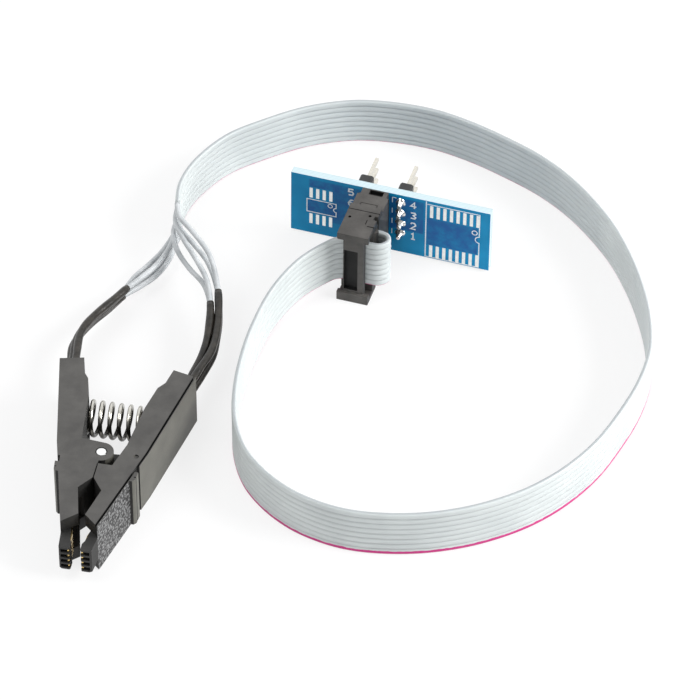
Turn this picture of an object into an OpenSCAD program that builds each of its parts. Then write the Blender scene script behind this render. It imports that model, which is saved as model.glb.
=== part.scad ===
// IC test clip for an eight-lead small-outline chip, with its flat cable,
// crimped socket and adapter board. The clip lies on its side: the hinge pin
// stands along Z, the jaws point to -Y and the handles to +Y.
// Units are millimetres. The middle of the clip's footprint is at X = 0, Y = 0.

/* [Clip] */
// Thickness of the clip, along the hinge pin
clip_thick = 11.2; // [10:0.1:13]
// Hinge pin to the jaw tips
jaw_reach = 21.2; // [18:0.1:25]
// Hinge pin to the rear end of the handles
handle_reach = 22; // [18:0.1:26]
// Width over the two handle ends
handle_spread = 25; // [20:0.5:30]
// Pitch of the chip's leads, and of the contacts
lead_pitch = 1.27; // [1:0.01:1.27]
// Radius of each hinge ear
ear_radius = 2.2; // [1.8:0.1:2.4]
// Diameter of the steel hinge pin
pin_diameter = 2; // [1.5:0.1:2.2]
// Running clearance round the pin, on the radius
pin_clearance = 0.05; // [0.02:0.01:0.1]

/* [Spring] */
// Outer diameter of the coil
spring_outer = 6.9; // [6:0.1:7.2]
// Thickness of the spring wire
spring_wire = 0.8; // [0.6:0.05:0.9]
// Pitch of the open turns
spring_pitch = 1.72; // [1.6:0.02:1.72]
// Hinge pin to the middle of the spring
spring_back = 12.8; // [12:0.1:13.5]

/* [Cable] */
// Number of wires in the flat cable
wire_count = 8; // [8]
// Thickness over one wire of the flat cable
ribbon_thick = 0.9; // [0.8:0.05:1]
// Diameter of a single wire
wire_diameter = 1; // [0.8:0.05:1.1]
// Outer diameter of the shrunk sleeves
sleeve_diameter = 1.46; // [1.3:0.02:1.48]

/* [Board and socket] */
// Length of the adapter board
board_length = 38.3; // [36:0.1:40]
// Width of the adapter board
board_width = 14; // [13:0.1:16]
// Thickness of the adapter board
board_thick = 1.6; // [1:0.1:1.6]
// Pitch of the header pins
pin_pitch = 2.54; // [2.54]
// Side of a square header pin
pin_side = 0.64; // [0.6:0.01:0.66]
// Spacing of the two rear pin rows
row_spacing = 7.62; // [7.62]
// Length of the crimped socket
socket_length = 14.5; // [14:0.1:15]
// Width of the crimped socket
socket_width = 6; // [5.8:0.1:6.2]

/* [Hidden] */
mid_z = clip_thick / 2;
pivot_y = (jaw_reach - handle_reach) / 2;
ear_z = clip_thick / 4;
ear_gap = 0.06;
channel_z = 2.9;
rear_x = handle_spread / 2;
lead_z = [for (i = [-1.5 : 1.5]) i * lead_pitch];
// outer face of an arm, from the rear corner past the hinge to the nose
face_rear = [rear_x, handle_reach - 1];
face_mid = [8.3, 1];
face_nose = [3.3, -17.7];
// a contact strip runs this far inside the outer face
strip_in = 1.9;
strip_rear = [-9.72, 16.9];
strip_mid = [-6.47, 1.45];
strip_nose = [-1.46, -17.2];
strip_tip = [-1.24, 0.3 - jaw_reach];
// wires stand in a column behind each arm, every second one 0.4 to the side
pocket_dir = [-0.2055, 0.9787];
pocket_mid = [-10.32, handle_reach - 0.55];
spring_turns = 7.4;
spring_end = 7.6;

// connector and board stand together on the table, turned and leaning a little
stand_at = [35.54, 70.32, 0.55];
stand_turn = -6;
stand_lean = -2;
socket_mid_z = socket_length / 2;
board_left = -16.45;
row_x = [-2.95, -2.95 + row_spacing];
row_z = 8.35;
four = [-1.5 : 1.5];

ribbon_width = wire_count * lead_pitch;
ribbon_lift = ribbon_width / 2;

// route of the flat cable in plan, from the split near the clip to the socket
loop_route = [
  [-0.8, 65.5, 5.1], [-1.3, 70.5, 5.1], [0.2, 77, 5.1], [4.4, 84.4, 5.1],
  [10.3, 89.8, 5.1], [17.5, 94.9, 5.1], [25.5, 98.2, 5.1], [33, 99.2, 5.1],
  [41, 98.8, 5.1], [48, 97, 5.1], [54.8, 94.3, 5.1], [63.2, 90.1, 5.1],
  [70.6, 84.5, 5.1], [77.8, 76.6, 5.1], [82.4, 69.5, 5.1], [86.3, 61.5, 5.1],
  [89.3, 53, 5.1], [90.8, 44.5, 5.1], [90.2, 36.5, 5.1], [88.2, 28.5, 5.1],
  [85.2, 20.2, 5.1], [81, 13, 5.1], [76, 7.2, 5.1], [70.5, 2.8, 5.1],
  [64.6, -0.6, 5.1], [57.8, -3.2, 5.1], [50.8, -4.6, 5.1], [44.6, -4.8, 5.1],
  [38.8, -3.7, 5.1], [33.4, -1.5, 5.1], [28.2, 2.2, 5.1], [24, 7, 5.1],
  [21, 13.6, 5.1], [19.5, 21.5, 5.1], [19.1, 30, 5.1], [19.6, 38, 5.2],
  [21.2, 46, 5.7], [24.4, 52.8, 6.6], [28.6, 57.4, 7.4]
];
// the same cable inside the socket, in the socket's own axes: under the strain
// relief, round the right-hand side and back into the crimp slot
fold_route = [
  [-2.6, -12.35], [2.6, -12.35], [4.3, -12.1], [5.3, -11.2], [5.5, -10.2],
  [4.9, -9.2], [3.9, -8.83], [2.6, -8.78], [-2.9, -8.78]
];

// left-hand wires from the arm to the split, then the right-hand ones
left_route = [
  [-11.4, 26.2], [-12.1, 31.6], [-10.9, 36.8], [-8.7, 41.8], [-6.8, 46.2],
  [-4.8, 50.2], [-2.8, 54.2], [-1.4, 59]
];
right_route = [
  [11.3, 26.4], [12.2, 31.8], [11.9, 37.6], [10.9, 43.4], [9.2, 48.8],
  [6.4, 53.8], [2.8, 58.2], [0, 61.8]
];

// ---------------------------------------------------------------- helpers

function unit(v) = v / norm(v);

// smooth curve through the route points
function bend(p, i, t) = let (
    a = p[max(i - 1, 0)], b = p[i], c = p[i + 1], d = p[min(i + 2, len(p) - 1)]
  ) 0.5 * (2 * b + (c - a) * t + (2 * a - 5 * b + 4 * c - d) * t * t
    + (3 * b - a - 3 * c + d) * t * t * t);

function smooth(p, steps) = [
  for (i = [0 : len(p) - 2]) for (k = [0 : steps - 1]) bend(p, i, k / steps),
  p[len(p) - 1]
];

function heading(c, i) = unit(c[min(i + 1, len(c) - 1)] - c[max(i - 1, 0)]);

// rings of a round section swept along points c
function rings(c, radius, sides) = [
  for (i = [0 : len(c) - 1]) let (
    h = heading(c, i), s = unit(cross(h, [0, 0, 1])), u = cross(s, h)
  ) [for (k = [0 : sides - 1]) let (a = 360 * (k + 0.5) / sides)
    c[i] + radius * (cos(a) * s + sin(a) * u)]
];

function flat(list) = [for (part = list) for (p = part) p];

module tube(c, radius, sides = 8) {
  n = len(c);
  polyhedron(
    points = flat(rings(c, radius, sides)),
    faces = concat(
      [[for (k = [0 : sides - 1]) k]],
      [for (i = [0 : n - 2]) for (k = [0 : sides - 1]) let (
        a = i * sides + k, b = i * sides + (k + 1) % sides
      ) [a, a + sides, b + sides, b]],
      [[for (k = [sides - 1 : -1 : 0]) (n - 1) * sides + k]]
    )
  );
}

// hollow tube: the inner rings follow the outer ones in the point list
module pipe(c, outer, inner, sides = 8) {
  n = len(c);
  m = n * sides;
  polyhedron(
    points = concat(flat(rings(c, outer, sides)), flat(rings(c, inner, sides))),
    faces = [
      for (k = [0 : sides - 1]) let (j = (k + 1) % sides) each concat(
        [[k, j, m + j, m + k]],
        [for (i = [0 : n - 2]) let (a = i * sides + k, b = i * sides + j)
          [a, a + sides, b + sides, b]],
        [for (i = [0 : n - 2]) let (a = m + i * sides + k, b = m + i * sides + j)
          [a, b, b + sides, a + sides]],
        [[(n - 1) * sides + k, m + (n - 1) * sides + k,
          m + (n - 1) * sides + j, (n - 1) * sides + j]]
      )
    ]
  );
}

module block(low, high) {
  translate(low) cube(high - low);
}

module square_pin(at, low, high) {
  half = pin_side / 2;
  block([at[0] - half, low, at[1] - half], [at[0] + half, high, at[1] + half]);
}

// ---------------------------------------------------------------- clip arms

// outline of an arm on the +X side of the hinge, without its ears
module arm_outline() {
  polygon([
    face_rear, [8.2, handle_reach], [7.45, 18.6], [6.35, 17.1], [5.2, 11.9],
    [4.1, 2.4], [2.62, -2.9], [2.1, -2.9], [0.1, -2.9], [0.1, -6.4], [2.1, -9.2],
    [0.62, -15.3], face_nose, [6.42, -6.03], [6.9, -6.03], [7.3, -5.6],
    [7.55, -3.5], [7.3, -2.7], face_mid
  ]);
}

// one hinge ear with its root in the arm, for the level it is raised at
module ear() {
  difference() {
    union() {
      cylinder(r = ear_radius, h = ear_z - ear_gap, $fn = 64);
      linear_extrude(ear_z - ear_gap)
        polygon([[0, ear_radius], [4.3, 2.6], [4.3, -3.2], [0.1, -3.2], [0, -ear_radius]]);
    }
    pin_bore();
  }
}

module pin_bore() {
  translate([0, 0, -1])
    cylinder(d = pin_diameter + 2 * pin_clearance, h = clip_thick + 2, $fn = 48);
}

// path of a contact strip, grown to the stated width
module strip_path(width) {
  half = width / 2;
  polygon([
    strip_rear + [-half, 0], strip_mid + [-half, 0], strip_nose + [-half, 0],
    strip_tip + [-half, 0], strip_tip + [half, 0], strip_nose + [half, 0],
    strip_mid + [half, 0], strip_rear + [half, 0]
  ]);
}

// tongue beyond the nose, ending in a comb of five teeth
module tongue() {
  linear_extrude(clip_thick - 2 * channel_z)
    polygon([
      [3.64, -16.4], [3.3, -17.7], [2.95, -20.9], [2.5, -jaw_reach],
      [1.1, -jaw_reach], [0.95, -20.9], [0.95, -19.6], [1.3, -18.9], [1.72, -16.4]
    ]);
}

// one arm, on the +X side with its ears at the first and third level
module arm() {
  difference() {
    union() {
      difference() {
        linear_extrude(clip_thick) arm_outline();
        // room for the other arm's ears
        for (level = [1, 3])
          translate([0, 0, level * ear_z - ear_gap])
            cylinder(r = ear_radius + 0.3, h = ear_z + 2 * ear_gap, $fn = 64);
        pin_bore();
      }
      for (level = [0, 2]) translate([0, 0, level * ear_z + ear_gap / 2]) ear();
    }
    // channel of the jaw, open towards the other jaw
    translate([0, 0, channel_z]) linear_extrude(clip_thick - 2 * channel_z)
      polygon([[-1, -8.2], [4, -8.2], [1.72, -16.4], [1.46, -18.5], [-1, -18.5]]);
    // grooves of the four contacts
    for (z = lead_z) translate([0, 0, mid_z + z - 0.42])
      linear_extrude(0.84) mirror([1, 0]) strip_path(0.5);
    // seat of the spring
    translate([4, spring_back, mid_z]) rotate([0, 90, 0])
      cylinder(d = spring_outer + 0.6, h = spring_end + 0.1 - 4, $fn = 64);
    // pocket of the wires in the rear end
    translate([-pocket_mid[0], pocket_mid[1], channel_z - 0.1])
      rotate([0, 0, -11.86]) translate([-1.25, -4.3, 0])
        cube([2.5, 6, clip_thick - 2 * channel_z + 0.2]);
    // mark of the moulding's ejector
    translate([6.3, -0.1, clip_thick - 0.3]) cylinder(d = 1, h = 1, $fn = 32);
  }
  difference() {
    translate([0, 0, channel_z]) tongue();
    for (z = lead_z) {
      translate([0, 0, mid_z + z - 0.42])
        linear_extrude(0.84) mirror([1, 0]) strip_path(0.5);
      // slots between the teeth, open at the tip
      translate([0.5, -jaw_reach - 1, mid_z + z - 0.42]) cube([2.1, 2.5, 0.84]);
    }
  }
}

module at_hinge() {
  translate([0, pivot_y, 0]) children();
}

module left_arm() {
  color([0.12, 0.12, 0.13])
    at_hinge() translate([0, 0, clip_thick]) rotate([0, 180, 0]) arm();
}

module right_arm() {
  color([0.12, 0.12, 0.13]) at_hinge() arm();
}

module hinge_pin() {
  color([0.75, 0.75, 0.77]) at_hinge() {
    translate([0, 0, 0.3]) cylinder(d = pin_diameter, h = clip_thick - 0.6, $fn = 48);
    translate([0, 0, clip_thick - 0.3])
      cylinder(d1 = pin_diameter, d2 = pin_diameter - 0.3, h = 0.2, $fn = 48);
    translate([0, 0, 0.1])
      cylinder(d1 = pin_diameter - 0.3, d2 = pin_diameter, h = 0.2, $fn = 48);
  }
}

// position along the coil: closed end turns, open turns between
function coil_x(turn) = turn < 1 ? turn * (spring_wire + 0.03)
  : turn < 1 + spring_turns ? spring_wire + 0.03 + (turn - 1) * spring_pitch
  : spring_wire + 0.03 + spring_turns * spring_pitch
    + (turn - 1 - spring_turns) * (spring_wire + 0.03);

module spring() {
  turns = spring_turns + 2;
  steps = round(turns * 20);
  radius = (spring_outer - spring_wire) / 2;
  c = [for (i = [0 : steps]) let (turn = turns * i / steps, a = 360 * turn + 108)
    [coil_x(turn) - coil_x(turns) / 2, radius * cos(a), radius * sin(a)]];
  color([0.72, 0.72, 0.74]) translate([0, pivot_y + spring_back, mid_z])
    coil(c, spring_wire / 2);
}

// round wire wound about the X axis
module coil(c, radius) {
  sides = 8;
  n = len(c);
  polyhedron(
    points = [for (i = [0 : n - 1]) let (
        h = heading(c, i), s = unit([0, c[i][1], c[i][2]]), u = cross(s, h)
      ) for (k = [0 : sides - 1]) let (a = 360 * k / sides)
        c[i] + radius * (cos(a) * s + sin(a) * u)],
    faces = concat(
      [[for (k = [sides - 1 : -1 : 0]) k]],
      [for (i = [0 : n - 2]) for (k = [0 : sides - 1]) let (
        a = i * sides + k, b = i * sides + (k + 1) % sides
      ) [a, b, b + sides, a + sides]],
      [[for (k = [0 : sides - 1]) (n - 1) * sides + k]]
    )
  );
}

// ---------------------------------------------------------------- contacts

// contact strip at height z, for the left arm or mirrored for the right
module contact(side, z) {
  color([0.83, 0.66, 0.27]) at_hinge() translate([0, 0, mid_z + z - 0.36])
    linear_extrude(0.72) mirror([side > 0 ? 1 : 0, 0]) strip_path(0.3);
}

module contact_1() { contact(-1, lead_z[0]); }
module contact_2() { contact(-1, lead_z[1]); }
module contact_3() { contact(-1, lead_z[2]); }
module contact_4() { contact(-1, lead_z[3]); }
module contact_5() { contact(1, lead_z[0]); }
module contact_6() { contact(1, lead_z[1]); }
module contact_7() { contact(1, lead_z[2]); }
module contact_8() { contact(1, lead_z[3]); }

// ---------------------------------------------------------------- wires

// points of wire k (0 to 3) on one side, from the strip to the cable's edge
function wire_points(side, k) = let (
    off = (k % 2 == 0 ? -0.4 : 0.4), z = mid_z + lead_z[k],
    dir = [side < 0 ? pocket_dir[0] : -pocket_dir[0], pocket_dir[1]],
    across = [dir[1], -dir[0]],
    base = [side < 0 ? pocket_mid[0] : -pocket_mid[0], pocket_mid[1] + pivot_y],
    route = side < 0 ? left_route : right_route,
    start = base + off * across,
    end_z = 0.65 + lead_pitch * (side < 0 ? k : k + 4),
    last = len(route) - 1
  ) concat(
    [let (p = start - 4.1 * dir) [p[0], p[1], z],
     [start[0], start[1], z]],
    [for (i = [0 : last]) let (
        p = route[i], q = i == 0 ? start : route[i - 1], d = unit(p - q),
        spread = off * min(1, (last + 1 - i) / 4),
        t = (i + 1) / (last + 1)
      ) [p[0] + spread * d[1], p[1] - spread * d[0],
         z + (end_z - z) * t * t * (3 - 2 * t)]],
    [[loop_route[0][0], loop_route[0][1] - 0.3, end_z]]
  );

module wire(side, k) {
  color([0.72, 0.74, 0.75])
    tube(smooth(wire_points(side, k), 2), wire_diameter / 2);
}

module wire_1() { wire(-1, 0); }
module wire_2() { wire(-1, 1); }
module wire_3() { wire(-1, 2); }
module wire_4() { wire(-1, 3); }
module wire_5() { wire(1, 0); }
module wire_6() { wire(1, 1); }
module wire_7() { wire(1, 2); }
module wire_8() { wire(1, 3); }

// sleeve over the first part of a wire; the ends are staggered
module sleeve(side, k) {
  c = smooth(wire_points(side, k), 2);
  last = [12, 11, 13, 12][k];
  color([0.08, 0.08, 0.08])
    pipe([for (i = [1 : last]) c[i]], sleeve_diameter / 2, wire_diameter / 2 + 0.02);
}

module sleeve_1() { sleeve(-1, 0); }
module sleeve_2() { sleeve(-1, 1); }
module sleeve_3() { sleeve(-1, 2); }
module sleeve_4() { sleeve(-1, 3); }
module sleeve_5() { sleeve(1, 0); }
module sleeve_6() { sleeve(1, 1); }
module sleeve_7() { sleeve(1, 2); }
module sleeve_8() { sleeve(1, 3); }

// ---------------------------------------------------------------- flat cable

// a point of the standing socket's axes, brought to the table's axes
function stood(p) = let (
    y = p[1] * cos(stand_lean) - p[2] * sin(stand_lean),
    z = p[1] * sin(stand_lean) + p[2] * cos(stand_lean)
  ) stand_at + [p[0] * cos(stand_turn) - y * sin(stand_turn),
                p[0] * sin(stand_turn) + y * cos(stand_turn), z];

fold_points = [for (p = fold_route) stood([p[0], p[1], socket_mid_z])];

// section of the cable: a row of wires, as a flat strip with rounded edges
function strip_section(h, up) = let (
    s = unit(cross(h, up)), w = ribbon_width / 2, t = ribbon_thick / 2
  ) [for (q = [[-t, -w + 0.35], [-t, w - 0.35], [-t / 2, w], [t / 2, w],
               [t, w - 0.35], [t, -w + 0.35], [t / 2, -w], [-t / 2, -w]])
      q[0] * s + q[1] * up];

module ribbon_cable() {
  c = concat(smooth(loop_route, 1), smooth(fold_points, 2));
  n = len(c);
  sides = 8;
  lean_up = [sin(-stand_lean) * -sin(stand_turn), sin(-stand_lean) * cos(stand_turn),
             cos(stand_lean)];
  pts = [for (i = [0 : n - 1]) let (
      h = heading(c, i), f = i < 36 ? 0 : min(1, (i - 35) / 4),
      up = unit([0, 0, 1] * (1 - f) + lean_up * f)
    ) each [for (q = strip_section(h, up)) c[i] + q]];
  color([0.72, 0.75, 0.76]) polyhedron(
    points = pts,
    faces = concat(
      [[for (k = [0 : sides - 1]) k]],
      [for (i = [0 : n - 2]) for (k = [0 : sides - 1]) let (
        a = i * sides + k, b = i * sides + (k + 1) % sides
      ) [a, a + sides, b + sides, b]],
      [[for (k = [sides - 1 : -1 : 0]) (n - 1) * sides + k]]
    )
  );
}

// ---------------------------------------------------------------- socket

module standing() {
  translate(stand_at) rotate([0, 0, stand_turn]) rotate([stand_lean, 0, 0]) children();
}

module at_pins() {
  for (x = [-0.5, 0.5], z = four)
    translate([x * pin_pitch, 0, socket_mid_z + z * pin_pitch]) children();
}

module socket_housing() {
  half = socket_width / 2;
  color([0.1, 0.1, 0.1]) standing() difference() {
    union() {
      block([-half, -8.3, 0], [half, -2.2, socket_length]);
      // narrower feet that reach towards the board at both ends
      block([-2.5, -2.3, socket_length - 1.9], [2.5, -0.3, socket_length - 0.2]);
      block([-2.5, -2.3, 0.2], [2.5, -0.3, 1.9]);
    }
    at_pins() block([-0.65, -9, -0.65], [0.65, -1, 0.65]);
    // windows of the latches
    for (z = [-1, socket_length - 0.9])
      block([-0.7, -1.7, z], [1.4, -0.7, z + 1.9]);
    // recesses for the hooks of the cover
    for (z = [-1, socket_length - 0.9])
      block([-1.6, -9, z], [1.6, -4.5, z + 1.9]);
  }
}

module socket_cover() {
  half = socket_width / 2;
  color([0.1, 0.1, 0.1]) standing() {
    difference() {
      block([-half, -11.8, 0], [half, -9.25, socket_length]);
      at_pins() block([-0.65, -10.5, -0.65], [0.65, -9, 0.65]);
    }
    for (z = [0.05, socket_length - 0.8]) {
      block([-1.5, -9.3, z], [1.5, -4.6, z + 0.75]);
    }
    // rounded bead along the right-hand side
    translate([half - 0.2, -10.4, 0.8]) cylinder(d = 1.5, h = socket_length - 1.6, $fn = 32);
  }
}

module strain_relief() {
  low = -1;
  top = socket_length + 1;
  color([0.13, 0.13, 0.13]) standing() {
    difference() {
      union() {
        block([-3, -14.9, top - 0.9], [3, -6.2, top]);
        block([-3, -14.9, low], [3, -6.2, low + 0.9]);
        block([-3, -14.9, top - 1.5], [3, -13.9, top - 0.2]);
        block([-3, -14.9, low + 0.2], [3, -13.9, low + 2]);
        block([-1.95, -14.4, low + 0.5], [1.95, -12.9, top - 0.5]);
      }
      // sunk panel in the front of the bar
      block([-1.45, -15, 3.4], [0.75, -14.05, 10.4]);
      // notches of the right-hand edges
      block([2.3, -9.6, top - 1], [4, -8.6, top + 1]);
      block([2.3, -9.6, low - 1], [4, -8.6, low + 1]);
    }
  }
}

module socket_contacts() {
  color([0.83, 0.66, 0.27]) standing() at_pins() {
    difference() {
      block([-0.6, -7.4, -0.6], [0.6, -2.6, 0.6]);
      block([-0.36, -7.9, -0.36], [0.36, -2, 0.36]);
    }
    // fork that bites through the cable
    difference() {
      block([-0.15, -10.2, -0.6], [0.15, -7.4, 0.6]);
      block([-0.3, -10.5, -0.18], [0.3, -8, 0.18]);
    }
    block([-0.6, -7.6, -0.6], [0.6, -7.4, 0.6]);
  }
}

// ---------------------------------------------------------------- board

module row_holes(x) {
  for (z = four) translate([x, -1, row_z + z * pin_pitch])
    rotate([-90, 0, 0]) cylinder(d = 1, h = board_thick + 2, $fn = 24);
}

module adapter_board() {
  color([0.08, 0.4, 0.65]) standing() difference() {
    block([board_left, 0, 0], [board_left + board_length, board_thick, board_width]);
    at_pins() translate([0, -1, 0]) rotate([-90, 0, 0])
      cylinder(d = 1, h = board_thick + 2, $fn = 24);
    for (x = row_x) row_holes(x);
  }
}

module header_base() {
  color([0.1, 0.1, 0.1]) standing() difference() {
    block([-2.5, -2, socket_mid_z - 5.05], [2.5, 0, socket_mid_z + 5.05]);
    at_pins() block([-0.34, -3, -0.34], [0.34, 1, 0.34]);
  }
}

module header_pins() {
  color([0.83, 0.7, 0.4]) standing() at_pins() square_pin([0, 0], -7.2, 2.9);
}

// strip of four sockets of black plastic on the back of the board
module row_base(x) {
  color([0.1, 0.1, 0.1]) standing() difference() {
    for (z = four) translate([x, 0, row_z + z * pin_pitch])
      linear_extrude_y(board_thick, board_thick + 2.5)
        polygon([[-1.27, -0.95], [-0.95, -1.27], [0.95, -1.27], [1.27, -0.95],
                 [1.27, 0.95], [0.95, 1.27], [-0.95, 1.27], [-1.27, 0.95]]);
    for (z = four) translate([x, 0, row_z + z * pin_pitch])
      block([-0.34, 1, -0.34], [0.34, 5, 0.34]);
  }
}

module linear_extrude_y(low, high) {
  translate([0, high, 0]) rotate([90, 0, 0]) linear_extrude(high - low) children();
}

module row_pins(x) {
  color([0.83, 0.8, 0.7]) standing()
    for (z = four) square_pin([x, row_z + z * pin_pitch], -1.2, 10.2);
}

module left_row_base() { row_base(row_x[0]); }
module left_row_pins() { row_pins(row_x[0]); }
module right_row_base() { row_base(row_x[1]); }
module right_row_pins() { row_pins(row_x[1]); }

left_arm();
right_arm();
hinge_pin();
spring();
contact_1();
contact_2();
contact_3();
contact_4();
contact_5();
contact_6();
contact_7();
contact_8();
wire_1();
wire_2();
wire_3();
wire_4();
wire_5();
wire_6();
wire_7();
wire_8();
sleeve_1();
sleeve_2();
sleeve_3();
sleeve_4();
sleeve_5();
sleeve_6();
sleeve_7();
sleeve_8();
ribbon_cable();
socket_housing();
socket_cover();
strain_relief();
socket_contacts();
adapter_board();
header_base();
header_pins();
left_row_base();
left_row_pins();
right_row_base();
right_row_pins();
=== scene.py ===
# Finish of the chip test clip with its flat cable, crimped socket and adapter board.
# Lengths are metres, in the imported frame: the clip lies on the table, hinge pin upright.
import math

import bmesh
import bpy
from mathutils import Euler, Matrix, Vector


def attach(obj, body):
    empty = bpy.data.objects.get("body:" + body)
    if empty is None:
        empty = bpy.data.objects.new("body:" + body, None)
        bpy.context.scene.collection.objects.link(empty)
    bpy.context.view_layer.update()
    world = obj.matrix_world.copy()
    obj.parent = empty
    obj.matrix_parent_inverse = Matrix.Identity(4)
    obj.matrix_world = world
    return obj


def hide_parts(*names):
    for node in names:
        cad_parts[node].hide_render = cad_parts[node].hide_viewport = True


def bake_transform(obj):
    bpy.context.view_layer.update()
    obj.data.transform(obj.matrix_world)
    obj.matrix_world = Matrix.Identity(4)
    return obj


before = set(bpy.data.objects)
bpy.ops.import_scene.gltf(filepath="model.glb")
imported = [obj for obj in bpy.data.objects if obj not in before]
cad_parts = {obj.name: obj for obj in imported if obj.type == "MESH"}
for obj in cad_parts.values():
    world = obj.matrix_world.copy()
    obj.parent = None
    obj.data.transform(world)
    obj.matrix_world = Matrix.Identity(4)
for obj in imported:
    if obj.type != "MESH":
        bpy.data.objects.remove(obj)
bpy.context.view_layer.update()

MM = 0.001


# ---------------------------------------------------------------- table, light and camera
# A plain white table under soft light from both sides. The view looks down on the clip
# from in front, a little from its right-hand side, through a long lens.

def new_finish(name, **numbers):
    """A finish whose plain numbers sit on the shader's own sockets."""
    finish = bpy.data.materials.new(name)
    finish.use_nodes = True
    shader = finish.node_tree.nodes["Principled BSDF"]
    for socket, value in numbers.items():
        shader.inputs[socket.replace("_", " ")].default_value = value
    return finish


def step(finish, kind, *feeds, **settings):
    """One node of a finish. Feeds are its inputs in order: a value, or another node's socket."""
    made = finish.node_tree.nodes.new("ShaderNode" + kind)
    for setting, value in settings.items():
        setattr(made, setting, value)
    for socket, feed in zip(made.inputs, feeds):
        if isinstance(feed, bpy.types.NodeSocket):
            finish.node_tree.links.new(feed, socket)
        elif feed is not None:
            socket.default_value = feed
    return made


def put(finish, socket, feed, shader="Principled BSDF"):
    """Joins a socket to an input of the finish's shader."""
    finish.node_tree.links.new(feed, finish.node_tree.nodes[shader].inputs[socket])


TABLE_GLOW = 0.78
table_corners = [(-3, -3, 0), (3, -3, 0), (3, 3, 0), (-3, 3, 0)]
table_white = bpy.data.materials.new("table_white")
table_white.use_nodes = True
table_white.node_tree.nodes.clear()
seen = step(table_white, "LightPath")
straight = step(table_white, "Math", seen.outputs["Is Camera Ray"], seen.outputs["Is Glossy Ray"],
                operation="MAXIMUM")
through = step(table_white, "Math", straight.outputs[0], seen.outputs["Is Transmission Ray"],
               operation="MAXIMUM")
share = step(table_white, "Math", through.outputs[0], TABLE_GLOW, operation="MULTIPLY")
matt = step(table_white, "BsdfDiffuse", (0.88, 0.88, 0.88, 1))
bright = step(table_white, "Emission", (1, 1, 1, 1), 1.0)
mixed = step(table_white, "MixShader", share.outputs[0], matt.outputs[0], bright.outputs[0])
step(table_white, "OutputMaterial", mixed.outputs[0])

table = bpy.data.meshes.new("table")
table.from_pydata(table_corners, [], [(0, 1, 2, 3)])
table.materials.append(table_white)
table_top = bpy.data.objects.new("table_top", table)
bpy.context.scene.collection.objects.link(table_top)

world = bpy.data.worlds.new("room")
bpy.context.scene.world = world
world.use_nodes = True
world.node_tree.nodes.clear()
ray = step(world, "LightPath")
look = step(world, "Math", ray.outputs["Is Camera Ray"], ray.outputs["Is Transmission Ray"],
            operation="MAXIMUM")
# the room is brighter behind the subject than in front of it
heading = step(world, "SeparateXYZ", step(world, "TexCoord").outputs["Generated"])
plain_light = step(world, "MapRange", heading.outputs["Y"], -1.0, 1.0, 0.40, 0.80)
mirrored = step(world, "MapRange", heading.outputs["Y"], -0.7, 0.7, 0.25, 1.30)
strength = step(world, "Mix", ray.outputs["Is Glossy Ray"], None, plain_light.outputs[0],
                mirrored.outputs[0])
soft = step(world, "Background", (0.97, 0.98, 1.0, 1), strength.outputs[0])
white = step(world, "Background", (1, 1, 1, 1), 1.0)
mixed = step(world, "MixShader", look.outputs[0], soft.outputs[0], white.outputs[0])
step(world, "OutputWorld", mixed.outputs[0])


def soft_box(name, place, aim, side, power):
    """A square studio lamp that faces the aim."""
    light = bpy.data.lights.new(name, "AREA")
    light.energy = power
    light.size = side
    lamp = bpy.data.objects.new(name, light)
    bpy.context.scene.collection.objects.link(lamp)
    lamp.location = place
    lamp.rotation_euler = (Vector(aim) - Vector(place)).to_track_quat("-Z", "Y").to_euler()


aim = (0.036, 0.043, 0)
view_aim = Vector((0.03603, 0.04343, 0))
soft_box("key_lamp", (0.95, 0.05, 0.6), aim, 0.55, 14)
soft_box("fill_lamp", (-0.5, -0.1, 1.0), aim, 0.7, 5)

camera = bpy.data.cameras.new("camera")
camera.lens = 282.1
camera.sensor_width = 36
camera.clip_start = 0.05
camera.clip_end = 20
view = bpy.data.objects.new("camera", camera)
bpy.context.scene.collection.objects.link(view)
view.location = (0.17157, -0.64425, 0.71325)
view.rotation_euler = (view_aim - view.location).to_track_quat("-Z", "Y").to_euler()
bpy.context.scene.camera = view
bpy.context.scene.view_settings.view_transform = "Standard"


# ---------------------------------------------------------------- flat cable
# Eight stranded wires side by side in one grey vinyl extrusion, with a groove between
# neighbours. The first wire has a thin red line along its outer edge. The cable stands on
# that edge, goes round the table once and ends in the teeth of the crimped socket.
PITCH = 1.27 * MM
WIRES = 8
ribbon_half = WIRES * PITCH / 2
ribbon_thick = 0.9 * MM
groove_thick = 0.42 * MM
edge_thick = 0.24 * MM
LINE_RED = (0.55, 0.02, 0.20, 1)

loop_route = [
    (-0.8, 65.5, 5.1), (-1.3, 70.5, 5.1), (0.2, 77, 5.1), (4.4, 84.4, 5.1),
    (10.3, 89.8, 5.1), (17.5, 94.9, 5.1), (25.5, 98.2, 5.1), (33, 99.2, 5.1),
    (41, 98.8, 5.1), (48, 97, 5.1), (54.8, 94.3, 5.1), (63.2, 90.1, 5.1),
    (70.6, 84.5, 5.1), (77.8, 76.6, 5.1), (82.4, 69.5, 5.1), (86.3, 61.5, 5.1),
    (89.3, 53, 5.1), (90.8, 44.5, 5.1), (90.2, 36.5, 5.1), (88.2, 28.5, 5.1),
    (85.2, 20.2, 5.1), (81, 13, 5.1), (76, 7.2, 5.1), (70.5, 2.8, 5.1),
    (64.6, -0.6, 5.1), (57.8, -3.2, 5.1), (50.8, -4.6, 5.1), (44.6, -4.8, 5.1),
    (38.8, -3.7, 5.1), (33.4, -1.5, 5.1), (28.2, 2.2, 5.1), (24, 7, 5.1),
    (21, 13.6, 5.1), (19.5, 21.5, 5.1), (19.1, 30, 5.1), (19.6, 38, 5.2),
    (21.2, 46, 5.7), (24.4, 52.8, 6.6), (28.6, 57.4, 7.4),
]
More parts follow.
